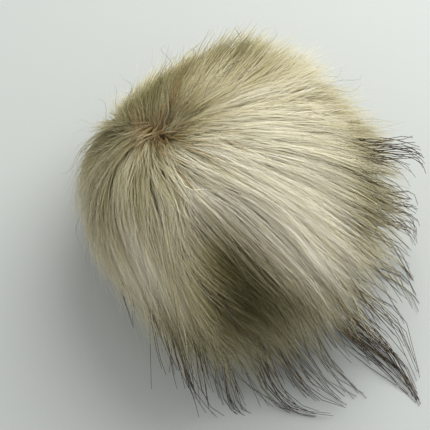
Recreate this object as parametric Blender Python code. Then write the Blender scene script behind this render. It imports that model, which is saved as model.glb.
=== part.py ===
"""A faux-fur pom pom, gathered into a ball and resting on its own pile.

It is one solid. A backing ball of corners and facets grows one three-sided lock of pile on each
facet. The locks are combed from a whorl near the top towards the underside. They stand apart but
for their roots, and lie level where the ball settles on the floor. A short blunt foot of matted
pile underneath ends in the flat spot. Metres, +Z up, origin at the middle of the flat spot.
"""

import math
import random

import bmesh
import bpy
from mathutils import Vector

# Overall sizes
PILE_DIAMETER = 0.122
BACKING_DIAMETER = 0.090
CENTRE_HEIGHT = 0.049
FLAT_SPOT_DIAMETER = 0.027

# Facets of the backing: each one outside the foot carries a lock
FREE_CORNERS = 147
FOOT_SIDES = 7
FOOT_ANGLE = math.radians(17.0)
LOWEST_CORNER_ANGLE = math.radians(27.0)
CORNER_JITTER = 0.035
UPSTREAM_SHIFT = 0.45
SHUFFLE_SEED = 11

# Comb: the pile leaves the whorl, lifts from the backing and runs to the underside
WHORL = Vector((-0.4875, 0.1386, 0.8626)).normalized()
UNDERSIDE = Vector((0.0, 0.0, -1.0))
SWEEP = math.radians(40.0)
SWEEP_AT_WHORL = math.radians(5.0)
WHORL_SPREAD = math.radians(48.0)
UNDERSIDE_START = math.radians(14.0)
UNDERSIDE_SPREAD = math.radians(78.0)
LIFT_CURVE = 0.85

# Long tips: towards this side the ends of the pile leave the ball
LONG_TIP_SIDE = Vector((0.62, -0.78, 0.0)).normalized()
LONG_TIP_REACH = 0.020
LONG_TIP_EDGE = 0.05
LONG_TIP_FULL = 0.85
LONG_TIP_CURVE = 3.0

# Lock: the share of its facet that it still fills at each step of its length
LOCK_STEPS = (
    # along, fullness
    (0.28, 0.80),
    (0.56, 0.62),
    (0.82, 0.38),
)
SHORTEST_LOCK = 0.84
SHORTEST_UNDER_LOCK = 0.45
TIP_WANDER = 0.55

# Floor: the pile is pressed flat below this softness, and spreads a little
FLOOR_SOFTNESS = 0.0045
FLOOR_SPREAD = 0.12
UNDER_LOCK_DROP = 0.004

# Main forms of the pile, as ridges and hollows between two directions from the centre
FORM_AT_ROOT = 0.35
FORMS = (
    # name, from, to, half width in degrees, rise
    ("parting", (0.05, -0.59, 0.81), (0.40, -0.88, 0.27), 12.0, -0.012),
    ("valley", (0.57, 0.46, 0.68), (0.72, -0.25, 0.64), 9.0, -0.006),
    ("front mass", (0.30, 0.05, 0.95), (0.62, -0.62, 0.48), 20.0, 0.003),
    ("left curtain", (-0.45, -0.55, 0.70), (-0.30, -0.90, 0.30), 18.0, 0.002),
    ("right bunch", (0.92, 0.10, 0.38), (0.96, -0.20, 0.18), 15.0, 0.002),
    ("whorl", (-0.4875, 0.1386, 0.8626), (-0.4875, 0.1386, 0.8626), 9.0, -0.006),
)

PILE_COLOUR = (0.60, 0.54, 0.42, 1.0)
PILE_ROUGHNESS = 0.75

PILE_RADIUS = PILE_DIAMETER / 2
BACKING_RADIUS = BACKING_DIAMETER / 2
CENTRE = Vector((0.0, 0.0, CENTRE_HEIGHT))
NEARLY_ZERO = 1e-6


def held(value):
    """The value, kept between 0 and 1."""
    return min(max(value, 0.0), 1.0)


def smooth(value):
    """An even step from 0 to 1 as the value goes from 0 to 1."""
    share = held(value)
    return share * share * (3.0 - 2.0 * share)


def random_direction(shuffle):
    return Vector((shuffle.uniform(-1, 1), shuffle.uniform(-1, 1), shuffle.uniform(-1, 1)))


def corner_directions():
    """Unit directions of the backing's corners: a jittered spiral, then the foot's ring and middle.

    The spiral is drawn up towards the whorl, so that the combed locks cover the ball evenly.
    """
    shuffle = random.Random(SHUFFLE_SEED)
    turn = math.pi * (3.0 - math.sqrt(5.0))
    lowest = -math.cos(LOWEST_CORNER_ANGLE)
    directions = []
    for number in range(FREE_CORNERS):
        height = 1.0 + (lowest - 1.0) * (number + 0.5) / FREE_CORNERS
        ring = math.sqrt(1.0 - height * height)
        corner = Vector((ring * math.cos(number * turn), ring * math.sin(number * turn), height))
        corner = (corner + CORNER_JITTER * random_direction(shuffle)).normalized()
        upstream = UPSTREAM_SHIFT * sweep(corner)
        directions.append(math.cos(upstream) * corner - math.sin(upstream) * combed(corner))
    for number in range(FOOT_SIDES):
        angle = 2.0 * math.pi * number / FOOT_SIDES
        ring = math.sin(FOOT_ANGLE)
        directions.append(
            Vector((ring * math.cos(angle), ring * math.sin(angle), -math.cos(FOOT_ANGLE)))
        )
    directions.append(UNDERSIDE.copy())
    return directions


def combed(direction):
    """The way the pile runs along the ball there: away from the whorl, towards the underside."""
    from_whorl = direction - WHORL
    from_underside = direction - UNDERSIDE
    pull = (
        UNDERSIDE / max(from_underside.length_squared, NEARLY_ZERO)
        - WHORL / max(from_whorl.length_squared, NEARLY_ZERO)
    )
    return (pull - pull.dot(direction) * direction).normalized()


def sweep(direction):
    """The angle that the pile travels round the ball between its root and its tip."""
    from_whorl = direction.angle(WHORL, 0.0)
    from_underside = direction.angle(UNDERSIDE, 0.0)
    opening = smooth(from_whorl / WHORL_SPREAD)
    closing = held((from_underside - UNDERSIDE_START) / UNDERSIDE_SPREAD)
    return (SWEEP_AT_WHORL + (SWEEP - SWEEP_AT_WHORL) * opening) * closing


def form_rise(direction):
    """How far the main forms lift the pile there."""
    rise = 0.0
    for _, start, end, half_width, height in FORMS:
        first = Vector(start).normalized()
        span = Vector(end).normalized() - first
        if span.length_squared > 0.0:
            along = held((direction - first).dot(span) / span.length_squared)
        else:
            along = 0.0
        nearest = (first + along * span).normalized()
        away = direction.angle(nearest, 0.0) / math.radians(half_width)
        rise += height * math.exp(-away * away)
    return rise


def settled(point):
    """The point once the ball rests on the floor: low pile is pressed level and spreads."""
    lift = point.z / FLOOR_SOFTNESS
    height = FLOOR_SOFTNESS * (max(lift, 0.0) + math.log1p(math.exp(-abs(lift))))
    pressed = 1.0 / (1.0 + math.exp(lift))
    spread = 1.0 + FLOOR_SPREAD * pressed
    return Vector((point.x * spread, point.y * spread, height))


def pile_point(direction, along):
    """Where the pile that grows at this direction has got to, from 0 at its root to 1 at its tip."""
    turned = sweep(direction) * along
    way = (math.cos(turned) * direction + math.sin(turned) * combed(direction)).normalized()
    side = Vector((way.x, way.y, 0.0)).dot(LONG_TIP_SIDE)
    long_tips = smooth((side - LONG_TIP_EDGE) / (LONG_TIP_FULL - LONG_TIP_EDGE))
    radius = BACKING_RADIUS + (PILE_RADIUS - BACKING_RADIUS) * along**LIFT_CURVE
    radius += LONG_TIP_REACH * long_tips * along**LONG_TIP_CURVE
    radius += form_rise(way) * (FORM_AT_ROOT + (1.0 - FORM_AT_ROOT) * along)
    return settled(CENTRE + radius * way)


def on_floor(point):
    """The point, kept from sinking into the floor."""
    return Vector((point.x, point.y, max(point.z, 0.0)))


def lock_length(direction, shuffle):
    """The share of its full length that a lock has: the ones under the ball are shorter."""
    length = shuffle.uniform(SHORTEST_LOCK, 1.0)
    lowest = CENTRE_HEIGHT + UNDER_LOCK_DROP
    down = max(-direction.z, NEARLY_ZERO)
    room = (lowest / down - BACKING_RADIUS) / (PILE_RADIUS - BACKING_RADIUS)
    return min(length, max(room, SHORTEST_UNDER_LOCK))


def grow_lock(mesh, face, directions, shuffle):
    """Replaces a facet by a three-sided lock that narrows to a point."""
    ring = list(face.verts)
    corners = [directions[vert.index] for vert in ring]
    middle = sum(corners, Vector()).normalized()
    length = lock_length(middle, shuffle)
    wander = random_direction(shuffle)
    wander -= wander.dot(middle) * middle
    half_facet = min((corner - middle).length for corner in corners) * PILE_RADIUS / 2
    mesh.faces.remove(face)
    for along, fullness in LOCK_STEPS:
        core = pile_point(middle, along * length)
        core += wander * TIP_WANDER * half_facet * (1.0 - fullness)
        section = []
        for corner in corners:
            edge = pile_point(corner, along * length)
            section.append(mesh.verts.new(on_floor(core + fullness * (edge - core))))
        for first, second in ((0, 1), (1, 2), (2, 0)):
            mesh.faces.new((ring[first], ring[second], section[second], section[first]))
        ring = section
    tip = mesh.verts.new(on_floor(pile_point(middle, length) + wander * TIP_WANDER * half_facet))
    for first, second in ((0, 1), (1, 2), (2, 0)):
        mesh.faces.new((ring[first], ring[second], tip))


def grow_foot(mesh, faces):
    """Extends the facets under the ball down to the floor, where they end in the flat spot."""
    middle = next(vert for vert in faces[0].verts if all(vert in face.verts for face in faces))
    edges = []
    for face in faces:
        corners = list(face.verts)
        place = corners.index(middle)
        edges.append((corners[(place + 1) % 3], corners[(place + 2) % 3]))
    bmesh.ops.delete(mesh, geom=faces, context="FACES_ONLY")
    mesh.verts.remove(middle)
    flat_middle = mesh.verts.new(Vector((0.0, 0.0, 0.0)))
    flat_ring = {}
    for root, _ in edges:
        outward = Vector((root.co.x, root.co.y, 0.0)).normalized()
        flat_ring[root] = mesh.verts.new(outward * FLAT_SPOT_DIAMETER / 2)
    for first, second in edges:
        mesh.faces.new((first, second, flat_ring[second], flat_ring[first]))
        mesh.faces.new((flat_middle, flat_ring[first], flat_ring[second]))


def build_pom_pom():
    directions = corner_directions()
    mesh = bmesh.new()
    for direction in directions:
        mesh.verts.new(direction)
    bmesh.ops.convex_hull(mesh, input=mesh.verts)
    bmesh.ops.recalc_face_normals(mesh, faces=mesh.faces)
    mesh.verts.index_update()
    for vert in mesh.verts:
        vert.co = pile_point(directions[vert.index], 0.0)

    foot_middle = len(directions) - 1
    facets = list(mesh.faces)
    foot = [face for face in facets if foot_middle in [vert.index for vert in face.verts]]
    shuffle = random.Random(SHUFFLE_SEED)
    for face in facets:
        if face not in foot:
            grow_lock(mesh, face, directions, shuffle)
    grow_foot(mesh, foot)
    return mesh


def make_pile_material():
    material = bpy.data.materials.new("faux fur pile")
    material.use_nodes = True
    shader = material.node_tree.nodes["Principled BSDF"]
    shader.inputs["Base Color"].default_value = PILE_COLOUR
    shader.inputs["Roughness"].default_value = PILE_ROUGHNESS
    shader.inputs["Metallic"].default_value = 0.0
    return material


def main():
    for old in list(bpy.data.objects):
        bpy.data.objects.remove(old, do_unlink=True)
    mesh = build_pom_pom()
    data = bpy.data.meshes.new("pom_pom")
    mesh.to_mesh(data)
    mesh.free()
    data.materials.append(make_pile_material())
    pom_pom = bpy.data.objects.new("pom_pom", data)
    bpy.context.scene.collection.objects.link(pom_pom)


main()
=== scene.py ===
import math

import bmesh
import bpy
from bpy.props import FloatProperty, FloatVectorProperty, IntProperty, PointerProperty
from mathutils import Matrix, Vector, noise


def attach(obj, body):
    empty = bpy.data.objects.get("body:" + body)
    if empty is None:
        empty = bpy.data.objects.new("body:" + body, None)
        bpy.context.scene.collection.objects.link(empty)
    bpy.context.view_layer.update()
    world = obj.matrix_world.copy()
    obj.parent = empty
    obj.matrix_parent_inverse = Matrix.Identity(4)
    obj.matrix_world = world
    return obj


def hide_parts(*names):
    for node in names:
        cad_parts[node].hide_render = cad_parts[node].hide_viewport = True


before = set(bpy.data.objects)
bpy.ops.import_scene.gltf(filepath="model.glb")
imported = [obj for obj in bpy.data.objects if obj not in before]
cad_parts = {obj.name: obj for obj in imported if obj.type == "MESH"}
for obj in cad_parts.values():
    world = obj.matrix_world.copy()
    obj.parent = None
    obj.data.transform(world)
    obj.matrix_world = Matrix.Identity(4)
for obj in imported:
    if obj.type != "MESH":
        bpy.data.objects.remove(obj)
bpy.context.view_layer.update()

bl_info = {
    "name": "Faux fur pom pom",
    "version": (1, 0, 0),
    "blender": (4, 5, 0),
    "location": "3D View > Sidebar > Pom Pom",
    "description": "Grows combed faux fur on the ball of a pom pom",
    "category": "Add Mesh",
}

# What the pieces stand for
BODY = "root"
NODE = "pom_pom"

# The ball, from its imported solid: its centre and the pile that reaches its rim
PILE_RADIUS = 0.061
BACKING_RADIUS = 0.045
CENTRE = Vector((0.0, 0.0, 0.049))
FOOT_ANGLE = math.radians(17.0)

# Comb: the pile leaves the whorl, lifts from the backing and runs to the gathering underneath
WHORL = Vector((-0.4875, 0.1386, 0.8626)).normalized()
GATHERING = Vector((0.32, -0.45, -0.83)).normalized()
SWEEP_AT_WHORL = 0.16
WHORL_SPREAD = math.radians(48.0)
GATHERING_START = math.radians(14.0)
GATHERING_SPREAD = math.radians(78.0)
UPSTREAM_SHARE = 0.55
# Where the pile is combed aside as well, as arcs between two directions from the centre
COMBINGS = (
    # name, from, to, half width in degrees, pull
    ("left side", (-0.86, 0.42, 0.30), (-0.72, -0.55, 0.42), 38.0, (0.80, -0.30, 0.0)),
    ("front foot", (-0.45, -0.88, -0.15), (0.30, -0.92, -0.25), 30.0, (0.75, -0.1, -0.2)),
    ("top", (-0.45, 0.62, 0.64), (0.30, 0.75, 0.59), 30.0, (-0.25, 0.9, 0.0)),
    ("right side", (0.70, 0.30, 0.65), (0.90, -0.30, 0.30), 26.0, (0.35, 0.30, 0.0)),
)

# Where the pile stands away from the ball instead of lying along it
STANDING = (
    # name, from, to, half width in degrees, less sweep by
    ("right side", (0.96, 0.25, 0.10), (0.93, -0.35, -0.10), 32.0, 0.55),
    ("top", (-0.20, 0.92, 0.33), (0.60, 0.70, 0.40), 30.0, 0.45),
)

# Long tips: towards this side the ends of the pile leave the ball and sink to the floor
LONG_TIP_SIDE = Vector((0.62, -0.78, 0.0)).normalized()
LONG_TIP_EDGE = 0.05
LONG_TIP_FULL = 0.85

# Floor: the pile is pressed flat below this softness, and spreads a little
FLOOR_SOFTNESS = 0.0045
FLOOR_SPREAD = 0.2
FLOOR_GAP = 0.0002
# Past this far from the middle the ends of the longest hairs are drawn in, up to the room given
FULL_REACH = 0.070
REACH_ROOM = 0.0200

# Main forms of the pile, as ridges and hollows between two directions from the centre
FORM_AT_ROOT = 0.35
FORMS = (
    # name, from, to, half width in degrees, rise
    ("parting", (0.06, -0.74, 0.67), (0.34, -0.93, 0.10), 14.0, -0.015),
    ("valley", (0.72, 0.35, 0.60), (0.92, -0.34, 0.19), 9.0, -0.008),
    ("front mass", (0.30, 0.05, 0.95), (0.62, -0.62, 0.48), 20.0, 0.003),
    ("left curtain", (-0.45, -0.55, 0.70), (-0.30, -0.90, 0.30), 18.0, 0.002),
    ("right bunch", (0.92, 0.10, 0.38), (0.96, -0.20, 0.18), 15.0, 0.007),
    ("shoulder", (0.35, 0.80, 0.48), (0.80, 0.35, 0.48), 26.0, 0.007),
    ("back of the whorl", (-0.60, 0.66, 0.45), (-0.40, 0.80, 0.44), 24.0, -0.008),
    ("whorl", (-0.4875, 0.1386, 0.8626), (-0.4875, 0.1386, 0.8626), 8.0, -0.003),
)
# Where the pile is parted, the hairs on either side are pushed away from this line
PARTINGS = (
    # name, from, to, half width in degrees, push
    ("parting", (0.05, -0.72, 0.69), (0.30, -0.94, 0.16), 16.0, 1.3),
)
# Painted shade and light on the pile's tone, along arcs between two directions from the centre:
# darker, as painted shade, in the parting's hollow, the valley, under the ball and along the left
# side; lighter, as painted light, on the front mass, the right foot and the low left curtain. On
# the top edge, the right bunch and round the whorl the darkening is partly the fur's own khaki tone
# and partly painted shade.
PAINTED_SHADE_AND_LIGHT = (
    # name, from, to, half width in degrees, darker by (painted shade; below zero, painted light)
    ("parting", (0.08, -0.83, 0.55), (0.24, -0.92, 0.28), 14.0, 0.59),
    ("under the parting", (-0.10, -0.98, -0.14), (0.44, -0.89, -0.13), 21.0, 0.38),
    ("round the whorl", (-0.70, 0.38, 0.60), (-0.36, 0.20, 0.91), 18.0, 0.30),
    ("left curtain", (-0.80, 0.05, 0.60), (-0.70, -0.40, 0.60), 22.0, 0.20),
    ("left edge", (-0.93, 0.15, 0.33), (-0.88, -0.35, 0.30), 15.0, 0.16),
    ("left foot", (-0.60, -0.80, -0.05), (-0.30, -0.92, 0.10), 16.0, 0.13),
    ("right foot", (0.62, -0.72, -0.28), (0.72, -0.60, -0.18), 14.0, -0.10),
    ("left curtain, low", (-0.62, -0.62, 0.48), (-0.50, -0.82, 0.28), 12.0, -0.16),
    ("top edge", (-0.38, 0.72, 0.58), (0.10, 0.76, 0.64), 21.0, 0.44),
    ("right bunch", (0.90, 0.22, 0.38), (0.92, -0.30, 0.25), 15.0, 0.32),
    ("valley", (0.82, 0.10, 0.56), (0.92, -0.34, 0.19), 8.0, 0.16),
    ("front mass", (0.25, -0.10, 0.96), (0.58, -0.64, 0.50), 20.0, -0.26),
)

# Where the coat lies sleek, with fewer of its ends standing off
SLEEK = (
    # name, from, to, half width in degrees, less fluff by
    ("front", (-0.60, -0.30, 0.74), (0.45, -0.65, 0.61), 38.0, 0.85),
)
# Where bundles of dark-tipped hairs grow: the middles of their roots
BUNDLES = (
    # name, way, half width in degrees, length, drift of the tips
    ("corner", (0.61, -0.76, -0.22), 4.0, 1.15, (0.018, 0.014, 0.0)),
    ("corner, upper", (0.60, -0.80, 0.0), 3.0, 1.05, (0.020, 0.026, 0.0)),
    ("corner, lower", (0.58, -0.62, -0.53), 3.8, 1.26, (0.013, 0.012, 0.0)),
    ("right, highest", (0.88, 0.14, 0.45), 2.1, 1.02, (0.010, 0.001, 0.0)),
    ("right, high", (0.88, 0.05, 0.48), 2.4, 1.00, (0.009, 0.0, 0.0)),
    ("over the valley", (0.76, 0.02, 0.65), 2.2, 0.34, (0.0, -0.011, 0.0)),
    ("over the valley, low", (0.92, -0.08, 0.37), 1.8, 0.40, (-0.005, -0.001, 0.0)),
    ("over the shoulder", (0.58, 0.25, 0.78), 1.3, 0.50, (0.002, -0.008, 0.0)),
    ("right", (0.94, -0.24, 0.26), 3.0, 0.80, (0.014, 0.016, 0.0)),
    ("right, low", (0.95, -0.29, 0.09), 2.6, 0.70, (0.016, 0.020, 0.0)),
    ("right, lower", (0.92, -0.38, 0.02), 2.4, 0.60, (0.021, 0.027, 0.0)),
    ("right, lowest", (0.74, -0.29, -0.61), 2.4, 1.50, (0.020, 0.006, 0.0)),
    ("over the right edge", (0.77, -0.64, 0.04), 1.8, 0.45, (0.006, 0.003, 0.0)),
    ("floor, high", (0.38, -0.70, -0.61), 1.8, 1.50, (0.003, 0.020, 0.0)),
    ("floor", (0.33, -0.73, -0.60), 1.8, 1.50, (0.003, 0.005, 0.0)),
    ("floor, low", (0.33, -0.74, -0.58), 1.6, 1.50, (0.002, -0.014, 0.0)),
    ("front, right", (0.23, -0.89, -0.40), 2.8, 1.19, (0.0, -0.014, 0.0)),
    ("front", (0.03, -0.89, -0.46), 1.9, 1.21, (-0.002, -0.006, 0.0)),
    ("front, left", (-0.15, -0.98, -0.09), 1.9, 1.12, (0.0, -0.006, 0.0)),
    ("left foot", (-0.38, -0.92, -0.01), 2.6, 1.23, (0.016, -0.026, 0.0)),
    ("left foot, high", (-0.50, -0.85, 0.12), 1.9, 0.85, (0.012, -0.028, 0.0)),
    ("left edge", (-0.76, -0.66, 0.0), 1.4, 0.65, (0.002, -0.005, 0.0)),
)

# Where tufts with warm brown roots grow
WARMTHS = (
    # name, from, to, half width in degrees, share of the tufts
    ("whorl", (-0.52, 0.16, 0.84), (-0.42, 0.02, 0.90), 7.0, 0.95),
    ("round the whorl", (-0.52, 0.22, 0.83), (-0.36, -0.04, 0.93), 17.0, 0.22),
)

# Stage
FLOOR_HALF = 3.0
KEY_PLACE = (0.18, 0.27, 0.49)
KEY_SIZE = 0.50
KEY_COLOUR = (1.0, 0.99, 0.97)
SKY_COLOUR = (1.0, 0.99, 0.965)
SENSOR_WIDTH = 36.0
# From the ball's centre to the point in the middle of the picture
AIM = Vector((-0.0026, -0.0128, 0.0))

# Node trees
TREE_NAME = "Combed pile"
PILE_MAP = "OFBake"
ROUND_SIDES = 3
# The ramp's colours from the darkest, the painted shade of the hollows, to the palest, and the warm
# roots
TONES = ("Hollow", "Shade", "Middle", "Pale", "Root")
TONE_ACROSS_HAIR = 0.004
ALONG_ACROSS_HAIR = 0.004
UNIT_BALL_STEPS = 5
GUIDE_DENSITY = 4000.0
# Shares and powers of the pile's path along each hair
REACH_POWER = 3.0
DROOP_POWER = 4.0
POINT_POWER = 0.9
GATHER_POWER = 1.3
STRAY_POWER = 2.0
TAPER_POWER = 2.0
FLUFF_POWER = 2.5
TUFT_SHIFT = 0.6
LOCK_RISE = 0.35
SECOND_WAVE_RATE = 0.7
SECOND_WAVE_HEIGHT = 0.6
# The map leaves a margin at both ends of a hair
MAP_LENGTH = 0.98
MAP_MARGIN = 0.01
LEAST = 1e-6
TEMPORARY = ("hair_way", "tuft_way", "lock_way", "reach", "tone", "share", "side", "sway", "lift",
             "lock_sway", "lock_lift", "phase", "second_phase", "shift", "fluff", "warm",
             "long", "drift")


def length(name, description, default):
    return FloatProperty(
        name=name, description=description, default=default, subtype="DISTANCE", unit="LENGTH",
    )


def count(name, description, default):
    return IntProperty(name=name, description=description, default=default, min=1)


def colour(name, description, default):
    return FloatVectorProperty(
        name=name, description=description, default=default, size=3, subtype="COLOR",
        min=0.0, max=1.0,
    )


class PomPomSizes(bpy.types.PropertyGroup):
    """Sizes of the hairs and of the ball under them."""

    hair_width: length("Hair Width", "Width of a pile hair at its root", 0.00026)
    guard_width: length("Guard Hair Width", "Width of a guard hair at its root", 0.00042)
    tip_share: FloatProperty(
        name="Tip Share", description="Width of a hair's tip, as a share of its root",
        default=0.2, min=0.05, max=1.0, subtype="FACTOR",
    )
    tuft_spacing: length("Tuft Spacing", "Distance between small tufts at the backing", 0.0022)
    lock_spacing: length("Lock Spacing", "Distance between large locks at the backing", 0.0068)
    sweep: FloatProperty(
        name="Sweep", description="Angle that the pile travels round the ball from root to tip",
        default=math.radians(74.0), subtype="ANGLE", unit="ROTATION",
    )


class PomPomCounts(bpy.types.PropertyGroup):
    """How many hairs each kind of pile has, before some are left out for the foot and the sides."""

    sides: count("Sides", "Sectors that the main pile is grown in", 4)
    side_hairs: count("Main Pile", "Hairs in each sector of the main pile", 5800)
    under_hairs: count("Undercoat", "Short hairs under the main pile", 5000)
    guard_hairs: count("Guard Hairs", "Long dark-tipped hairs", 1800)
    bundle_hairs: count("Bundles", "Hairs all over that the dark bundles are picked from", 30000)
    stray_hairs: count("Stray Hairs", "Loose wavy hairs round the ball", 460)
    halo_hairs: count("Halo", "Very fine pale hairs that blur the ball's edge", 2200)
    seed: count("Seed", "Changes where each hair grows", 5)


class PomPomColours(bpy.types.PropertyGroup):
    """Colours of the fur, from the deepest painted shade to the palest hair."""

    # Hollow is painted shade, the dark end of the tone ramp that the painted shading reaches in the
    # parting's hollow; Shade is partly painted shade of the deeper pile and partly the olive of the
    # matted backing.
    hollow: colour("Hollow", "Deepest shade between the locks", (0.028, 0.023, 0.006))
    shade: colour("Shade", "Olive of the pile that lies deeper", (0.175, 0.152, 0.049))
    root: colour("Root", "Warm brown near the roots", (0.24, 0.15, 0.045))
    middle: colour("Middle", "Beige of most of the pile", (0.55, 0.482, 0.258))
    pale: colour("Pale", "Cream of the palest hairs", (0.97, 0.92, 0.71))
    dark_tip: colour("Dark Tip", "Tips of the guard hairs", (0.022, 0.014, 0.009))
    floor: colour("Floor", "Colour of the floor", (0.43, 0.455, 0.445))


class PomPomStage(bpy.types.PropertyGroup):
    """Camera and light."""

    camera_height: FloatProperty(
        name="Camera Elevation", description="Angle of the camera above the floor",
        default=math.radians(70.0), subtype="ANGLE", unit="ROTATION",
    )
    camera_distance: FloatProperty(
        name="Camera Distance", description="From the camera to the ball's centre",
        default=0.75, subtype="DISTANCE", unit="LENGTH",
    )
    view_width: FloatProperty(
        name="View Width", description="Width that the camera sees at the ball",
        default=0.184, subtype="DISTANCE", unit="LENGTH",
    )
    key_power: FloatProperty(
        name="Key Light", description="Power of the large soft light", default=3.9, unit="POWER",
    )
    sky_strength: FloatProperty(
        name="Sky Light", description="Strength of the even light from all sides", default=0.78,
    )


class Field:
    """A number or vector that a node tree works out, so that sums are written as sums."""

    def __init__(self, tree, socket):
        self.tree = tree
        self.socket = socket
        self.is_vector = socket.type == "VECTOR"

    def number(self, operation, *others):
        return self.tree.field("ShaderNodeMath", self, *others, operation=operation)

    def vector(self, operation, *others):
        return self.tree.field("ShaderNodeVectorMath", self, *others, operation=operation)

    def __add__(self, other):
        return self.vector("ADD", other) if self.is_vector else self.number("ADD", other)

    def __sub__(self, other):
        return self.vector("SUBTRACT", other) if self.is_vector else self.number("SUBTRACT", other)

    def __mul__(self, other):
        return self.vector("SCALE", other) if self.is_vector else self.number("MULTIPLY", other)

    def __truediv__(self, other):
        return self.number("DIVIDE", other)

    def __pow__(self, other):
        return self.number("POWER", other)

    def __neg__(self):
        return self * -1.0

    def dot(self, other):
        return self.vector("DOT_PRODUCT", other)

    def cross(self, other):
        return self.vector("CROSS_PRODUCT", other)

    def unit(self):
        return self.vector("NORMALIZE")

    def at_least(self, low):
        return self.number("MAXIMUM", low)

    def at_most(self, high):
        return self.number("MINIMUM", high)

    def held(self):
        """The value, kept between 0 and 1."""
        return self.at_least(0.0).at_most(1.0)

    def smooth(self):
        """An even step from 0 to 1 as the value goes from 0 to 1."""
        share = self.held()
        return share * share * (share * -2.0 + 3.0)

    def angle(self, other):
        """The angle between two unit vectors."""
        return self.dot(other).at_most(1.0).at_least(-1.0).number("ARCCOSINE")

    def towards(self, other, share):
        """The mix of this and another vector."""
        return self + (other - self) * share


class Tree:
    """A node tree, with short words for adding nodes to it."""

    def __init__(self, name, kind="GeometryNodeTree"):
        self.data = bpy.data.node_groups.new(name, kind)
        self.start = self.data.nodes.new("NodeGroupInput")

    def take(self, name, kind, default=None):
        """A named input of the tree."""
        kind = f"NodeSocket{kind}"
        socket = self.data.interface.new_socket(name, in_out="INPUT", socket_type=kind)
        if default is not None:
            socket.default_value = default
        return Field(self, self.start.outputs[name])

    def give(self, **results):
        """Ends the tree with its named results."""
        for name, (kind, _) in results.items():
            self.data.interface.new_socket(name, in_out="OUTPUT", socket_type=f"NodeSocket{kind}")
        end = self.data.nodes.new("NodeGroupOutput")
        for name, (_, value) in results.items():
            self.put(value, end.inputs[name])

    def put(self, value, socket):
        """Links a field or an output to a socket, or sets the socket's own value."""
        if isinstance(value, Field):
            value = value.socket
        if isinstance(value, bpy.types.NodeSocket):
            self.data.links.new(value, socket)
        elif value is not None:
            socket.default_value = value

    def add(self, kind, *values, **settings):
        """Adds a node and fills its shown inputs in their order."""
        node = self.data.nodes.new(kind)
        for setting, choice in settings.items():
            setattr(node, setting, choice)
        shown = [socket for socket in node.inputs if socket.enabled]
        for value, socket in zip(values, shown):
            self.put(value, socket)
        return node

    def field(self, kind, *values, **settings):
        """The first result of a new node."""
        node = self.add(kind, *values, **settings)
        return Field(self, next(socket for socket in node.outputs if socket.enabled))

    def joined(self, x, y, z):
        return self.field("ShaderNodeCombineXYZ", x, y, z)

    def parts(self, vector):
        node = self.add("ShaderNodeSeparateXYZ", vector)
        return [Field(self, socket) for socket in node.outputs]

    def keep(self, geometry, name, value, domain="POINT", kind=None):
        """Stores a value on the geometry under a name."""
        kind = kind or ("FLOAT_VECTOR" if value.is_vector else "FLOAT")
        return self.field(
            "GeometryNodeStoreNamedAttribute", geometry, True, name, value,
            data_type=kind, domain=domain,
        )

    def kept(self, name, kind="FLOAT"):
        return self.field("GeometryNodeInputNamedAttribute", name, data_type=kind)

    def chance(self, low, high, seed, number=None, kind="FLOAT"):
        """A random value between two, the same for the same number."""
        return self.field("FunctionNodeRandomValue", low, high, number, seed, data_type=kind)

    def group(self, other, **values):
        """Places another tree, with its inputs set by name, and gives its node."""
        kind = "GeometryNodeGroup" if self.data.type == "GEOMETRY" else "ShaderNodeGroup"
        node = self.data.nodes.new(kind)
        node.node_tree = other.data
        for name, value in values.items():
            self.put(value, node.inputs[name.replace("_", " ")])
        return node


def nearest_way(tree, way, start, end):
    """The direction on the arc from start to end that lies nearest to a direction."""
    first = Vector(start).normalized()
    span = Vector(end).normalized() - first
    if span.length_squared == 0.0:
        return (way * 0.0 + first).unit()
    along = ((way - first).dot(span) / span.length_squared).held()
    return (tree.joined(along, along, along).vector("MULTIPLY", span) + first).unit()


def hump(tree, way, start, end, half_width):
    """1 on the arc from start to end, falling softly to 0 past its half width in degrees."""
    away = way.angle(nearest_way(tree, way, start, end)) / math.radians(half_width)
    return (away * away * -1.0).number("EXPONENT")


def combed(tree, way):
    """The way the pile runs along the ball there: away from the whorl, towards the gathering."""
    from_whorl = way - WHORL
    from_gathering = way - GATHERING
    away = from_whorl.dot(from_whorl).at_least(LEAST) ** -1.0
    pull = from_gathering.dot(from_gathering).at_least(LEAST) ** -1.0
    run = tree.joined(*GATHERING) * pull - tree.joined(*WHORL) * away
    run = (run - way * run.dot(way)).unit()
    for _, start, end, half_width, aside in COMBINGS:
        share = hump(tree, way, start, end, half_width)
        run = run + tree.joined(share, share, share).vector("MULTIPLY", aside)
    return (run - way * run.dot(way)).unit()


def long_tips(tree, way):
    """How far the direction is on the side where the ends of the pile leave the ball."""
    side = way.dot(LONG_TIP_SIDE)
    return ((side - LONG_TIP_EDGE) / (LONG_TIP_FULL - LONG_TIP_EDGE)).smooth()


def sweep_share(tree, way):
    """The share of its full sweep that the pile makes: less at the whorl and the gathering."""
    opening = (way.angle(WHORL) / WHORL_SPREAD).smooth()
    closing = ((way.angle(GATHERING) - GATHERING_START) / GATHERING_SPREAD).held()
    share = (opening * (1.0 - SWEEP_AT_WHORL) + SWEEP_AT_WHORL) * closing
    for _, start, end, half_width, less in STANDING:
        share = share * (hump(tree, way, start, end, half_width) * -less + 1.0)
    return share


def settled(tree, point):
    """The point once the ball rests on the floor: low pile is pressed level and spreads."""
    x, y, z = tree.parts(point)
    lift = z / FLOOR_SOFTNESS
    soft = (lift.number("ABSOLUTE") * -1.0).number("EXPONENT") + 1.0
    height = (soft.number("LOGARITHM", math.e) + lift.at_least(0.0)) * FLOOR_SOFTNESS
    sinking = lift.number("EXPONENT") + 1.0
    pressed = sinking ** -1.0
    spread = pressed * FLOOR_SPREAD + 1.0
    return tree.joined(x * spread, y * spread, height)


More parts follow.
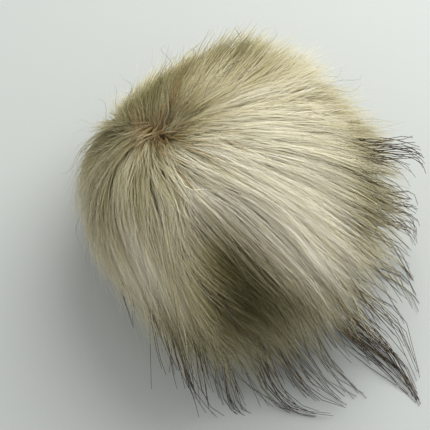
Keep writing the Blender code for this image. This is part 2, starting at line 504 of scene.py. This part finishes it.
def drawn_in(value):
    """A distance from the middle, which never passes the reach and its room."""
    past = (value.number("ABSOLUTE") - FULL_REACH).at_least(0.0)
    room = ((past * (-1.0 / REACH_ROOM)).number("EXPONENT") * -1.0 + 1.0) * REACH_ROOM
    near = value.at_most(FULL_REACH).at_least(-FULL_REACH)
    return near + room * value.number("SIGN")


def make_path_tree():
    """A group that gives where a hair of the pile has got to, from its root to its tip."""
    tree = Tree("Pile path")
    way = tree.take("Way", "Vector")
    shift = tree.take("Shift", "Vector")
    along = tree.take("Along", "Float", 0.5)
    root_radius = tree.take("Root Radius", "Float", BACKING_RADIUS)
    tip_radius = tree.take("Tip Radius", "Float", PILE_RADIUS)
    sweep = tree.take("Sweep", "Float", 1.0)
    lift_curve = tree.take("Lift Curve", "Float", 0.6)
    tip_reach = tree.take("Tip Reach", "Float", 0.02)
    tip_droop = tree.take("Tip Droop", "Float", 0.0)

    turned = sweep * sweep_share(tree, way) * (along - UPSTREAM_SHARE)
    run = combed(tree, (way + shift).unit())
    run = (run - way * run.dot(way)).unit()
    there = (way * turned.number("COSINE") + run * turned.number("SINE")).unit()
    for _, start, end, half_width, push in PARTINGS:
        aside = there - nearest_way(tree, there, start, end)
        there = (there + aside * (hump(tree, there, start, end, half_width) * push)).unit()
    rim = long_tips(tree, there)
    radius = root_radius + (tip_radius - root_radius) * along ** lift_curve
    radius = radius + tip_reach * rim * along ** REACH_POWER
    depth = along * (1.0 - FORM_AT_ROOT) + FORM_AT_ROOT
    for _, start, end, half_width, rise in FORMS:
        radius = radius + hump(tree, there, start, end, half_width) * depth * rise
    droop = tree.joined(0.0, 0.0, tip_droop * rim * along ** DROOP_POWER * -1.0)
    point = settled(tree, there * radius + CENTRE + droop)
    tree.give(Point=("Vector", point), Rim=("Float", rim))
    return tree


def guide_ways(tree, ball, spacing, seed):
    """Points spread evenly over the unit ball, which the tufts or locks gather towards."""
    points = tree.add(
        "GeometryNodeDistributePointsOnFaces", ball, True, spacing, GUIDE_DENSITY, 1.0, seed,
        distribute_method="POISSON",
    )
    return points.outputs["Points"]


def nearest_guide(tree, guides, way):
    """The number and the direction of the guide nearest to a direction."""
    number = tree.field("GeometryNodeSampleNearest", guides, way)
    place = tree.field("GeometryNodeInputPosition")
    there = tree.field(
        "GeometryNodeSampleIndex", guides, place, number, data_type="FLOAT_VECTOR", domain="POINT",
    )
    return number, there.unit()


def nearest_bundle(tree, way):
    """The share of hairs that grow in bundles there, and the bundle's middle, length and drift."""
    total = way.dot((0.0, 0.0, 0.0))
    reach = total
    middle = way * 0.0
    drift = middle
    for _, bundle, half_width, longer, blown in BUNDLES:
        near = hump(tree, way, bundle, bundle, half_width)
        total = total + near
        reach = reach + near * longer
        middle = middle + tree.joined(*Vector(bundle).normalized()) * near
        drift = drift + tree.joined(*blown) * near
    part = total.at_least(LEAST) ** -1.0
    return total, middle.unit(), reach * part, drift * part


def make_pile_tree():
    """The tree that grows hairs on the ball. Each kind of pile sets its own inputs."""
    path = make_path_tree()
    tree = Tree(TREE_NAME)
    hairs = tree.take("Hairs", "Int", 5000)
    points = tree.take("Points", "Int", 5)
    seed = tree.take("Seed", "Int", 1)
    sector = tree.take("Sector", "Int", 0)
    sectors = tree.take("Sectors", "Int", 1)
    root_radius = tree.take("Root Radius", "Float", BACKING_RADIUS)
    tip_radius = tree.take("Tip Radius", "Float", PILE_RADIUS)
    sweep = tree.take("Sweep", "Float", 1.0)
    lift_curve = tree.take("Lift Curve", "Float", 0.6)
    tip_reach = tree.take("Tip Reach", "Float", 0.02)
    tip_droop = tree.take("Tip Droop", "Float", 0.0)
    shortest = tree.take("Shortest", "Float", 0.8)
    longest = tree.take("Longest", "Float", 1.0)
    rim_only = tree.take("Rim Only", "Float", 0.0)
    bundled = tree.take("Bundled", "Float", 0.0)
    tuft_spacing = tree.take("Tuft Spacing", "Float", 0.05)
    lock_spacing = tree.take("Lock Spacing", "Float", 0.15)
    tuft_pull = tree.take("Tuft Pull", "Float", 0.7)
    lock_pull = tree.take("Lock Pull", "Float", 0.35)
    lock_stray = tree.take("Lock Stray", "Float", 0.003)
    hair_stray = tree.take("Hair Stray", "Float", 0.001)
    whorl_stray = tree.take("Whorl Stray", "Float", 0.1)
    fluff = tree.take("Fluff", "Float", 0.003)
    wave = tree.take("Wave", "Float", 0.0005)
    waves = tree.take("Waves", "Float", 1.5)
    wave_stray = tree.take("Wave Stray", "Float", 0.1)
    width = tree.take("Width", "Float", 0.0003)
    tip_share = tree.take("Tip Share", "Float", 0.3)
    tone_low = tree.take("Tone Low", "Float", 0.5)
    tone_high = tree.take("Tone High", "Float", 0.9)
    lock_tone = tree.take("Lock Tone", "Float", 0.1)
    tuft_tone = tree.take("Tuft Tone", "Float", 0.06)
    material = tree.take("Material", "Material")

    ball = tree.add("GeometryNodeMeshIcoSphere", 1.0, UNIT_BALL_STEPS).outputs["Mesh"]
    tufts = guide_ways(tree, ball, tuft_spacing, seed + 100)
    locks = guide_ways(tree, ball, lock_spacing, 7)
    grown = tree.add(
        "GeometryNodeDistributePointsOnFaces", ball, True, hairs * sectors / (4.0 * math.pi),
        seed + sector, distribute_method="RANDOM",
    ).outputs["Points"]

    # Roots: in this piece's sector, outside the foot, on the long side or in a bundle if asked
    place = tree.field("GeometryNodeInputPosition").unit()
    x, y, z = tree.parts(place)
    share = y.number("ARCTAN2", x) / (2.0 * math.pi) + 0.5
    in_sector = (share * sectors).number("FLOOR").number("COMPARE", sector, 0.5)
    outside_foot = z.number("GREATER_THAN", -math.cos(FOOT_ANGLE))
    rim = long_tips(tree, place)
    thinned = (rim - 1.0) * rim_only + 1.0
    chosen = tree.chance(0.0, 1.0, seed + 11).number("LESS_THAN", thinned)
    in_bundle, bundle_way, bundle_length, bundle_drift = nearest_bundle(tree, place)
    in_bundle = tree.chance(0.0, 1.0, seed + 13).number("LESS_THAN", in_bundle)
    kept_share = (in_bundle - 1.0) * bundled + 1.0
    grows = in_sector * outside_foot * chosen * kept_share
    grown = tree.field("GeometryNodeDeleteGeometry", grown, grows * -1.0 + 1.0, domain="POINT")

    tuft, tuft_way = nearest_guide(tree, tufts, place)
    lock, lock_way = nearest_guide(tree, locks, place)
    lock_way = lock_way.towards(bundle_way, bundled).unit()
    between_locks = tree.chance(-1.0, 1.0, 23, lock) * lock_tone
    between_tufts = tree.chance(-1.0, 1.0, 29, tuft) * tuft_tone
    tone = tree.chance(tone_low, tone_high, seed + 31) + between_locks + between_tufts
    every_way = dict(kind="FLOAT_VECTOR")
    shift = tree.chance((-1.0, -1.0, -1.0), (1.0, 1.0, 1.0), 67, lock, **every_way)
    tuft_shift = tree.chance((-1.0, -1.0, -1.0), (1.0, 1.0, 1.0), 71, tuft, **every_way)
    shift = shift + tuft_shift * TUFT_SHIFT
    warmth = place.dot((0.0, 0.0, 0.0))
    for _, first, last, half_width, more in WARMTHS:
        warmth = warmth + hump(tree, place, first, last, half_width) * more
    loose = tree.chance(0.0, 1.0, seed + 73) ** FLUFF_POWER
    for _, first, last, half_width, less in SLEEK:
        loose = loose * (hump(tree, place, first, last, half_width) * -less + 1.0)
    stored = (
        ("hair_way", place),
        ("tuft_way", tuft_way),
        ("lock_way", lock_way),
        ("reach", tree.chance(shortest, longest, seed + 37)),
        ("tone", tone),
        ("sway", tree.chance(-1.0, 1.0, seed + 41) * hair_stray),
        ("lift", tree.chance(-1.0, 1.0, seed + 43) * hair_stray),
        ("lock_sway", tree.chance(-1.0, 1.0, 47, lock) * lock_stray),
        ("lock_lift", tree.chance(-1.0, LOCK_RISE, 53, lock) * lock_stray),
        ("phase", tree.chance(0.0, 1.0, 59, lock) + tree.chance(-1.0, 1.0, seed + 59) * wave_stray),
        (
            "second_phase",
            tree.chance(0.0, 1.0, 61, lock) + tree.chance(-1.0, 1.0, seed + 61) * wave_stray,
        ),
        ("shift", shift * whorl_stray),
        ("fluff", loose * fluff),
        ("long", (bundle_length - 1.0) * bundled + 1.0),
        ("drift", bundle_drift * bundled),
        ("warm", tree.chance(0.0, 1.0, 79, tuft).number("LESS_THAN", warmth)),
    )
    for name, value in stored:
        grown = tree.keep(grown, name, value)

    # Hairs: a line of points on each root, then each point put on the pile's path
    line = tree.add("GeometryNodeCurvePrimitiveLine", (0.0, 0.0, 0.0), (0.0, 0.0, 1.0)).outputs[0]
    line = tree.field("GeometryNodeResampleCurve", line, True, points)
    curves = tree.field("GeometryNodeInstanceOnPoints", grown, True, line)
    curves = tree.field("GeometryNodeRealizeInstances", curves)
    curves = tree.keep(curves, "share", tree.field("GeometryNodeSplineParameter"))
    share = tree.kept("share")
    along = share ** POINT_POWER * tree.kept("reach")

    def travelled(name):
        node = tree.group(
            path, Way=tree.kept(name, "FLOAT_VECTOR"), Shift=tree.kept("shift", "FLOAT_VECTOR"),
            Along=along, Root_Radius=root_radius,
            Tip_Radius=tip_radius, Sweep=sweep, Lift_Curve=lift_curve,
            Tip_Reach=tip_reach * tree.kept("long"), Tip_Droop=tip_droop,
        )
        return Field(tree, node.outputs["Point"])

    gathered = along ** GATHER_POWER
    point = travelled("hair_way").towards(travelled("tuft_way"), gathered * tuft_pull)
    point = point.towards(travelled("lock_way"), gathered * lock_pull)
    outward = (point - CENTRE).unit()
    sideways = outward.cross(combed(tree, outward)).unit()
    turn = 2.0 * math.pi
    first_wave = (along * waves + tree.kept("phase")) * turn
    second_wave = (along * waves * SECOND_WAVE_RATE + tree.kept("second_phase")) * turn
    strayed = along ** STRAY_POWER
    aside = (tree.kept("lock_sway") + tree.kept("sway")) * strayed
    aside = aside + first_wave.number("SINE") * wave * along
    risen = (tree.kept("lock_lift") * along) + (tree.kept("lift") + tree.kept("fluff")) * strayed
    risen = risen + second_wave.number("SINE") * wave * along * SECOND_WAVE_HEIGHT
    point = point + sideways * aside + outward * risen
    point = point + tree.kept("drift", "FLOAT_VECTOR") * strayed
    x, y, z = tree.parts(point)
    point = tree.joined(drawn_in(x), drawn_in(y), z.at_least(width * 0.6 + FLOOR_GAP))
    curves = tree.field("GeometryNodeSetPosition", curves, True, point, (0.0, 0.0, 0.0))

    # Painted shade and light: the tone is darkened where shade falls on the pile and lightened
    # where light falls, by direction from the centre
    place = (tree.field("GeometryNodeInputPosition") - CENTRE).unit()
    tone = tree.kept("tone")
    for _, first, last, half_width, darker in PAINTED_SHADE_AND_LIGHT:
        tone = tone - hump(tree, place, first, last, half_width) * darker
    curves = tree.keep(curves, "tone", tone.at_least(0.01).at_most(0.99))

    # Round hairs that narrow to their tips
    taper = (share ** TAPER_POWER) * (tip_share - 1.0) + 1.0
    profile = tree.add("GeometryNodeCurvePrimitiveCircle", ROUND_SIDES, None).outputs["Curve"]
    number = tree.field("GeometryNodeInputIndex")
    profile = tree.keep(profile, "side", number / (ROUND_SIDES - 1.0) - 0.5)
    mesh = tree.field("GeometryNodeCurveToMesh", curves, profile, taper * width * 0.5, True)
    side = tree.kept("side")
    across = (tree.kept("tone") + side * TONE_ACROSS_HAIR + tree.kept("warm")) * 0.5
    up = share * MAP_LENGTH + MAP_MARGIN + side * side * ALONG_ACROSS_HAIR
    mesh = tree.keep(mesh, PILE_MAP, tree.joined(across, up, 0.0), "CORNER", "FLOAT2")
    mesh = tree.field("GeometryNodeSetShadeSmooth", mesh, True, True)
    mesh = tree.field("GeometryNodeRealizeInstances", mesh)
    mesh = tree.field("GeometryNodeSetMaterial", mesh, True, material)
    tree.give(Geometry=("Geometry", mesh))
    return tree


def finish_piece(piece):
    """The piece rides on the body and stands for the plain solid."""
    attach(piece, BODY)
    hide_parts(NODE)


def grow_pile(name, material, **inputs):
    """Grows one piece of pile with the tree's inputs set by name, and makes it a plain mesh.

    The spacings are given as lengths at the backing.
    """
    tree = shared_group(TREE_NAME, make_pile_tree)
    grower = bpy.data.objects.new(name + "_grower", bpy.data.meshes.new(name + "_grower"))
    bpy.context.scene.collection.objects.link(grower)
    modifier = grower.modifiers.new("Pile", "NODES")
    modifier.node_group = tree
    inputs["Material"] = material
    for spacing in ("Tuft_Spacing", "Lock_Spacing"):
        inputs[spacing] = inputs[spacing] / BACKING_RADIUS
    for socket in tree.interface.items_tree:
        wanted = inputs.pop(socket.name.replace(" ", "_"), None)
        if socket.in_out == "INPUT" and wanted is not None:
            modifier[socket.identifier] = wanted
    if inputs:
        raise ValueError(f"The pile's tree has no input for {sorted(inputs)}")

    shapes = bpy.context.evaluated_depsgraph_get()
    mesh = bpy.data.meshes.new_from_object(
        grower.evaluated_get(shapes), preserve_all_data_layers=True, depsgraph=shapes,
    )
    bpy.data.objects.remove(grower, do_unlink=True)
    if not mesh.polygons:
        raise RuntimeError(f"{name} grew no hairs")
    for temporary in TEMPORARY:
        attribute = mesh.attributes.get(temporary)
        if attribute is not None:
            mesh.attributes.remove(attribute)
    mesh.name = name
    piece = bpy.data.objects.new(name, mesh)
    bpy.context.scene.collection.objects.link(piece)
    finish_piece(piece)
    return piece


def make_tone_group():
    """A group that turns a hair's place on its map into the fur's colour.

    The map's left half is plain hair and its right half hair with warm roots. Each half goes
    from the hollows' dark painted shade to the palest; towards the root the colour is darkened as
    painted shade of the deep pile.
    """
    tree = Tree("Fur tone", "ShaderNodeTree")
    across = tree.take("Across", "Float", 0.35)
    along = tree.take("Along", "Float", 0.5)
    root_shade_depth = tree.take("Root Depth", "Float", 0.35)
    colours = [tree.take(name, "Color") for name in TONES]
    warm = across.number("GREATER_THAN", 0.5)
    tone = across * 2.0 - warm
    colour = colours[0]
    for (low, high), following in zip(((0.0, 0.25), (0.25, 0.5), (0.5, 1.0)), colours[1:]):
        share = ((tone - low) / (high - low)).held()
        colour = tree.add("ShaderNodeMix", share, colour, following, data_type="RGBA").outputs[2]
    share = warm * (((along - 0.4) / 0.6).smooth() * -0.5 + 0.9)
    colour = tree.add("ShaderNodeMix", share, colour, colours[4], data_type="RGBA").outputs[2]
    # Painted shade: the colour is darkened towards the root, where the hairs lie deep in the pile.
    root_shade_factor = (along / 0.6).smooth() * root_shade_depth - root_shade_depth + 1.0
    root_shade_grey = tree.add("ShaderNodeCombineColor", root_shade_factor, root_shade_factor, root_shade_factor).outputs[0]
    node = tree.add("ShaderNodeMix", 1.0, colour, root_shade_grey, data_type="RGBA", blend_type="MULTIPLY")
    tree.give(Colour=("Color", node.outputs[2]))
    return tree


def make_tip_group():
    """A group that turns a hair's colour dark towards its tip. A darker tone starts it earlier."""
    tree = Tree("Dark tips", "ShaderNodeTree")
    colour = tree.take("Colour", "Color")
    dark = tree.take("Dark", "Color")
    across = tree.take("Across", "Float", 0.25)
    along = tree.take("Along", "Float", 0.5)
    start = tree.take("Start", "Float", 0.3)
    spread = tree.take("Spread", "Float", 0.2)
    begins = start + across * 0.5
    share = ((along - begins) / spread).smooth()
    node = tree.add("ShaderNodeMix", share, colour, dark, data_type="RGBA")
    tree.give(Colour=("Color", node.outputs[2]))
    return tree


def shared_group(name, make):
    """A node tree, built the first time it is asked for."""
    return bpy.data.node_groups.get(name) or make().data


class Shading(Tree):
    """A material's node tree, with its Principled shader at hand."""

    def __init__(self, name):
        self.material = bpy.data.materials.new(name)
        self.material.use_nodes = True
        self.data = self.material.node_tree
        self.shader = self.data.nodes["Principled BSDF"]

    def place(self, data, **values):
        node = self.data.nodes.new("ShaderNodeGroup")
        node.node_tree = data
        for name, value in values.items():
            self.put(value, node.inputs[name.replace("_", " ")])
        return node.outputs["Colour"]

    def finish(self, **values):
        """Sets the shader's own sockets by name."""
        for name, value in values.items():
            self.shader.inputs[name.replace("_", " ")].default_value = value
        return self.material


def solid(colour):
    return (*colour, 1.0)


def hair_material(name, colours, root_shade_depth, dark_start=None, dark_spread=0.25):
    """Fur whose colour follows each hair's own map: tone across, with its painted shade and light,
    root to tip along, with painted shade towards the root.
    """
    shading = Shading(name)
    place = shading.add("ShaderNodeUVMap", uv_map=PILE_MAP).outputs["UV"]
    across, along, _ = shading.parts(place)
    tones = {name: solid(getattr(colours, name.lower())) for name in TONES}
    colour = shading.place(
        shared_group("Fur tone", make_tone_group), Across=across, Along=along,
        Root_Depth=root_shade_depth, **tones,
    )
    if dark_start is not None:
        colour = shading.place(
            shared_group("Dark tips", make_tip_group), Colour=colour, Dark=solid(colours.dark_tip),
            Across=across, Along=along, Start=dark_start, Spread=dark_spread,
        )
    shading.put(colour, shading.shader.inputs["Base Color"])
    return shading.finish(
        Roughness=0.5, Specular_IOR_Level=0.18, Subsurface_Weight=0.6,
        Subsurface_Radius=(1.0, 0.9, 0.7), Subsurface_Scale=0.0007,
        Sheen_Weight=0.08, Sheen_Roughness=0.4,
    )


def backing_material(colours):
    """Matted fur close to the backing: fine fibres in deep beige and brown."""
    shading = Shading("Matted underfur")
    place = shading.add("ShaderNodeTexCoord").outputs["Object"]
    fibres = shading.field("ShaderNodeTexNoise", place, 900.0, 4.0, 0.6)
    patches = shading.field("ShaderNodeTexNoise", place, 60.0, 2.0, 0.5)
    share = (fibres * 0.6 + patches * 0.6 - 0.1).held()
    mixed = shading.add(
        "ShaderNodeMix", share, solid(colours.shade), solid(colours.middle), data_type="RGBA",
    )
    shading.put(mixed.outputs[2], shading.shader.inputs["Base Color"])
    bump = shading.add("ShaderNodeBump")
    bump.inputs["Distance"].default_value = 0.0004
    shading.put(fibres, bump.inputs["Height"])
    shading.put(bump.outputs["Normal"], shading.shader.inputs["Normal"])
    return shading.finish(Roughness=0.9)


def floor_material(colours):
    """A plain pale matt floor with a faint unevenness."""
    shading = Shading("Pale floor")
    place = shading.add("ShaderNodeTexCoord").outputs["Object"]
    cloud = shading.field("ShaderNodeTexNoise", place, 6.0, 2.0, 0.5)
    pale = solid(colours.floor)
    paler = solid([channel * 1.02 for channel in colours.floor])
    mixed = shading.add("ShaderNodeMix", cloud, pale, paler, data_type="RGBA")
    shading.put(mixed.outputs[2], shading.shader.inputs["Base Color"])
    return shading.finish(Roughness=0.7, Specular_IOR_Level=0.0)


def form_rise(way):
    """How far the main forms lift or sink the pile in a direction."""
    rise = 0.0
    for _, start, end, half_width, height in FORMS:
        first = Vector(start).normalized()
        span = Vector(end).normalized() - first
        along = 0.0
        if span.length_squared > 0.0:
            along = min(max((way - first).dot(span) / span.length_squared, 0.0), 1.0)
        away = way.angle((first + along * span).normalized(), 0.0) / math.radians(half_width)
        rise += height * math.exp(-away * away)
    return rise


class OBJECT_OT_pom_pom_backing(bpy.types.Operator):
    """Makes the lumpy ball of backing and matted underfur that the pile grows on"""

    bl_idname = "object.pom_pom_backing"
    bl_label = "Backing Ball"

    def execute(self, context):
        mesh = bmesh.new()
        bmesh.ops.create_icosphere(mesh, subdivisions=5, radius=1.0)
        for vert in mesh.verts:
            way = vert.co.normalized()
            lump = noise.noise(way * 9.0) * 0.0012 + noise.noise(way * 34.0) * 0.0006
            radius = BACKING_RADIUS + 0.001 + lump + form_rise(way) * FORM_AT_ROOT
            point = CENTRE + way * radius
            point.z = max(point.z, FLOOR_GAP)
            vert.co = point
        bmesh.ops.recalc_face_normals(mesh, faces=mesh.faces)
        data = bpy.data.meshes.new("backing_ball")
        mesh.to_mesh(data)
        mesh.free()
        data.shade_smooth()
        data.materials.append(backing_material(context.scene.pom_pom_colours))
        ball = bpy.data.objects.new("backing_ball", data)
        context.scene.collection.objects.link(ball)
        finish_piece(ball)
        return {"FINISHED"}


class OBJECT_OT_pom_pom_undercoat(bpy.types.Operator):
    """Grows the short dense hairs that show between the locks"""

    bl_idname = "object.pom_pom_undercoat"
    bl_label = "Undercoat"

    def execute(self, context):
        sizes = context.scene.pom_pom_sizes
        counts = context.scene.pom_pom_counts
        material = hair_material("Undercoat", context.scene.pom_pom_colours, 0.3)
        # Painted shade: the undercoat's tones are set lower than the main pile's, darkening the
        # hairs that show between the locks.
        grow_pile(
            "undercoat", material, Hairs=counts.under_hairs, Points=4, Seed=counts.seed + 200,
            Tip_Radius=0.0565, Sweep=sizes.sweep * 0.5, Tip_Reach=0.006, Lift_Curve=0.7,
            Shortest=0.75, Longest=1.0,
            Tuft_Spacing=sizes.tuft_spacing, Lock_Spacing=sizes.lock_spacing,
            Tuft_Pull=0.3, Lock_Pull=0.2, Lock_Stray=0.002, Hair_Stray=0.002, Fluff=0.0,
            Width=sizes.hair_width * 1.6, Tip_Share=sizes.tip_share,
            Tone_Low=0.45, Tone_High=0.62, Lock_Tone=0.06, Tuft_Tone=0.04,
        )
        return {"FINISHED"}


class OBJECT_OT_pom_pom_pile(bpy.types.Operator):
    """Grows the main pile, one piece for each sector round the ball"""

    bl_idname = "object.pom_pom_pile"
    bl_label = "Main Pile"

    def execute(self, context):
        sizes = context.scene.pom_pom_sizes
        counts = context.scene.pom_pom_counts
        material = hair_material("Pale pile", context.scene.pom_pom_colours, 0.25)
        for sector in range(counts.sides):
            grow_pile(
                f"pile_{sector + 1}", material, Hairs=counts.side_hairs, Points=6,
                Seed=counts.seed, Sector=sector, Sectors=counts.sides,
                Tip_Radius=PILE_RADIUS, Sweep=sizes.sweep, Tip_Reach=0.018, Tip_Droop=0.008,
                Lift_Curve=0.42, Shortest=0.74, Longest=1.0,
                Tuft_Spacing=sizes.tuft_spacing, Lock_Spacing=sizes.lock_spacing,
                Tuft_Pull=0.42, Lock_Pull=0.3, Lock_Stray=0.0035, Hair_Stray=0.0012, Fluff=0.010,
                Wave=0.0008, Waves=1.3, Width=sizes.hair_width, Tip_Share=sizes.tip_share,
                Tone_Low=0.62, Tone_High=0.78, Lock_Tone=0.12, Tuft_Tone=0.09,
            )
        return {"FINISHED"}


class OBJECT_OT_pom_pom_guard(bpy.types.Operator):
    """Grows the long guard hairs with dark tips, most of them on the long side"""

    bl_idname = "object.pom_pom_guard"
    bl_label = "Guard Hairs"

    def execute(self, context):
        sizes = context.scene.pom_pom_sizes
        counts = context.scene.pom_pom_counts
        material = hair_material("Guard hair", context.scene.pom_pom_colours, 0.3, 0.58, 0.22)
        grow_pile(
            "guard_hairs", material, Hairs=counts.guard_hairs, Points=8, Seed=counts.seed + 400,
            Tip_Radius=PILE_RADIUS + 0.001, Sweep=sizes.sweep * 0.7, Tip_Reach=0.034,
            Tip_Droop=0.026, Lift_Curve=0.45, Shortest=0.66, Longest=1.05, Rim_Only=0.99,
            Tuft_Spacing=0.006, Lock_Spacing=0.011,
            Tuft_Pull=0.6, Lock_Pull=0.25, Lock_Stray=0.007, Hair_Stray=0.004, Fluff=0.004,
            Wave=0.0024, Waves=1.8, Wave_Stray=0.25, Width=sizes.guard_width, Tip_Share=0.5,
            Tone_Low=0.3, Tone_High=0.8, Lock_Tone=0.05,
        )
        return {"FINISHED"}


class OBJECT_OT_pom_pom_bundles(bpy.types.Operator):
    """Grows the bundles of long hairs whose dark tips lie together"""

    bl_idname = "object.pom_pom_bundles"
    bl_label = "Dark Bundles"

    def execute(self, context):
        sizes = context.scene.pom_pom_sizes
        counts = context.scene.pom_pom_counts
        material = hair_material("Bundle hair", context.scene.pom_pom_colours, 0.3, 0.5, 0.2)
        grow_pile(
            "dark_bundles", material, Hairs=counts.bundle_hairs, Points=10,
            Seed=counts.seed + 500, Bundled=1.0,
            Tip_Radius=PILE_RADIUS + 0.001, Sweep=sizes.sweep * 0.6, Tip_Reach=0.050,
            Tip_Droop=0.034, Lift_Curve=0.5, Shortest=0.64, Longest=1.03,
            Tuft_Spacing=0.004, Lock_Spacing=0.011,
            Tuft_Pull=0.1, Lock_Pull=0.66, Lock_Stray=0.003, Hair_Stray=0.0052, Fluff=0.003,
            Wave=0.0023, Waves=1.8, Wave_Stray=0.5, Width=sizes.guard_width * 1.12, Tip_Share=0.5,
            Tone_Low=0.3, Tone_High=0.7, Lock_Tone=0.0,
        )
        return {"FINISHED"}


class OBJECT_OT_pom_pom_strays(bpy.types.Operator):
    """Grows the loose wavy hairs that stand off the ball"""

    bl_idname = "object.pom_pom_strays"
    bl_label = "Stray Hairs"

    def execute(self, context):
        sizes = context.scene.pom_pom_sizes
        counts = context.scene.pom_pom_counts
        material = hair_material("Stray hair", context.scene.pom_pom_colours, 0.3, 0.3)
        grow_pile(
            "stray_hairs", material, Hairs=counts.stray_hairs, Points=14, Seed=counts.seed + 600,
            Tip_Radius=PILE_RADIUS + 0.003, Sweep=sizes.sweep * 0.75, Tip_Reach=0.016,
            Tip_Droop=0.012, Lift_Curve=0.7, Shortest=0.8, Longest=1.1, Rim_Only=0.25,
            Tuft_Spacing=0.004, Lock_Spacing=sizes.lock_spacing,
            Tuft_Pull=0.0, Lock_Pull=0.1, Lock_Stray=0.004, Hair_Stray=0.008, Fluff=0.004,
            Wave=0.0028, Waves=2.2, Wave_Stray=1.0, Width=sizes.hair_width * 0.9,
            Tip_Share=sizes.tip_share, Tone_Low=0.2, Tone_High=0.9, Lock_Tone=0.0,
        )
        return {"FINISHED"}


class OBJECT_OT_pom_pom_halo(bpy.types.Operator):
    """Grows the very fine pale hairs that blur the ball's edge"""

    bl_idname = "object.pom_pom_halo"
    bl_label = "Halo"

    def execute(self, context):
        sizes = context.scene.pom_pom_sizes
        counts = context.scene.pom_pom_counts
        material = hair_material("Halo hair", context.scene.pom_pom_colours, 0.2)
        grow_pile(
            "halo_hairs", material, Hairs=counts.halo_hairs, Points=6, Seed=counts.seed + 800,
            Tip_Radius=PILE_RADIUS + 0.0035, Sweep=sizes.sweep * 0.7, Tip_Reach=0.018,
            Tip_Droop=0.006, Lift_Curve=0.8, Shortest=0.85, Longest=1.05,
            Tuft_Spacing=0.004, Lock_Spacing=sizes.lock_spacing,
            Tuft_Pull=0.1, Lock_Pull=0.1, Lock_Stray=0.003, Hair_Stray=0.004, Fluff=0.009,
            Wave=0.0014, Waves=1.8, Wave_Stray=1.0, Width=sizes.hair_width * 0.5, Tip_Share=0.5,
            Tone_Low=0.60, Tone_High=0.85, Lock_Tone=0.0,
        )
        return {"FINISHED"}


def add_light(name, place, target, size, power, colour):
    data = bpy.data.lights.new(name, "AREA")
    data.shape = "DISK"
    data.size = size
    data.energy = power
    data.color = colour
    light = bpy.data.objects.new(name, data)
    light.location = place
    light.rotation_euler = (Vector(target) - Vector(place)).to_track_quat("-Z", "Y").to_euler()
    light.visible_camera = False
    bpy.context.scene.collection.objects.link(light)
    return light


class OBJECT_OT_pom_pom_stage(bpy.types.Operator):
    """Sets the floor, the light and the camera"""

    bl_idname = "object.pom_pom_stage"
    bl_label = "Stage"

    def execute(self, context):
        scene = context.scene
        stage = scene.pom_pom_stage
        mesh = bmesh.new()
        bmesh.ops.create_grid(mesh, x_segments=1, y_segments=1, size=FLOOR_HALF)
        data = bpy.data.meshes.new("floor")
        mesh.to_mesh(data)
        mesh.free()
        data.materials.append(floor_material(scene.pom_pom_colours))
        floor = bpy.data.objects.new("floor", data)
        scene.collection.objects.link(floor)

        add_light("key", KEY_PLACE, CENTRE, KEY_SIZE, stage.key_power, KEY_COLOUR)
        world = bpy.data.worlds.new("sky")
        world.use_nodes = True
        nodes = world.node_tree.nodes
        sky = nodes["Background"]
        sky.inputs["Color"].default_value = solid(SKY_COLOUR)
        sky.inputs["Strength"].default_value = stage.sky_strength
        # The wall that the camera sees past the floor has the floor's own tone
        wall = nodes.new("ShaderNodeBackground")
        wall.inputs["Color"].default_value = solid(scene.pom_pom_colours.floor)
        wall.inputs["Strength"].default_value = stage.sky_strength
        seen = nodes.new("ShaderNodeLightPath").outputs["Is Camera Ray"]
        mixed = nodes.new("ShaderNodeMixShader")
        links = world.node_tree.links
        links.new(seen, mixed.inputs["Fac"])
        links.new(sky.outputs["Background"], mixed.inputs[1])
        links.new(wall.outputs["Background"], mixed.inputs[2])
        links.new(mixed.outputs["Shader"], nodes["World Output"].inputs["Surface"])
        scene.world = world
        scene.view_settings.view_transform = "Standard"

        lens = bpy.data.cameras.new("camera")
        lens.sensor_width = SENSOR_WIDTH
        lens.lens = lens.sensor_width * stage.camera_distance / stage.view_width
        camera = bpy.data.objects.new("camera", lens)
        rise = stage.camera_height
        back = Vector((0.0, -math.cos(rise), math.sin(rise)))
        target = CENTRE + AIM
        camera.location = target + back * stage.camera_distance
        camera.rotation_euler = (-back).to_track_quat("-Z", "Y").to_euler()
        scene.collection.objects.link(camera)
        scene.camera = camera
        return {"FINISHED"}


OPERATORS = (
    OBJECT_OT_pom_pom_backing,
    OBJECT_OT_pom_pom_undercoat,
    OBJECT_OT_pom_pom_pile,
    OBJECT_OT_pom_pom_guard,
    OBJECT_OT_pom_pom_bundles,
    OBJECT_OT_pom_pom_strays,
    OBJECT_OT_pom_pom_halo,
    OBJECT_OT_pom_pom_stage,
)


class VIEW3D_PT_pom_pom(bpy.types.Panel):
    """Lists the steps that make the pom pom"""

    bl_idname = "VIEW3D_PT_pom_pom"
    bl_label = "Pom Pom"
    bl_space_type = "VIEW_3D"
    bl_region_type = "UI"
    bl_category = "Pom Pom"

    def draw(self, context):
        for settings in SETTINGS:
            group = getattr(context.scene, settings)
            for name in group.__annotations__:
                self.layout.prop(group, name)
        for operator in OPERATORS:
            self.layout.operator(operator.bl_idname)


SETTINGS = {
    "pom_pom_sizes": PomPomSizes,
    "pom_pom_counts": PomPomCounts,
    "pom_pom_colours": PomPomColours,
    "pom_pom_stage": PomPomStage,
}
CLASSES = (*SETTINGS.values(), *OPERATORS, VIEW3D_PT_pom_pom)


def register():
    for each in CLASSES:
        bpy.utils.register_class(each)
    for name, settings in SETTINGS.items():
        setattr(bpy.types.Scene, name, PointerProperty(type=settings))


def unregister():
    for name in SETTINGS:
        delattr(bpy.types.Scene, name)
    for each in reversed(CLASSES):
        bpy.utils.unregister_class(each)


def main():
    register()
    for operator in OPERATORS:
        group, name = operator.bl_idname.split(".")
        getattr(getattr(bpy.ops, group), name)()


if __name__ == "__main__":
    main()
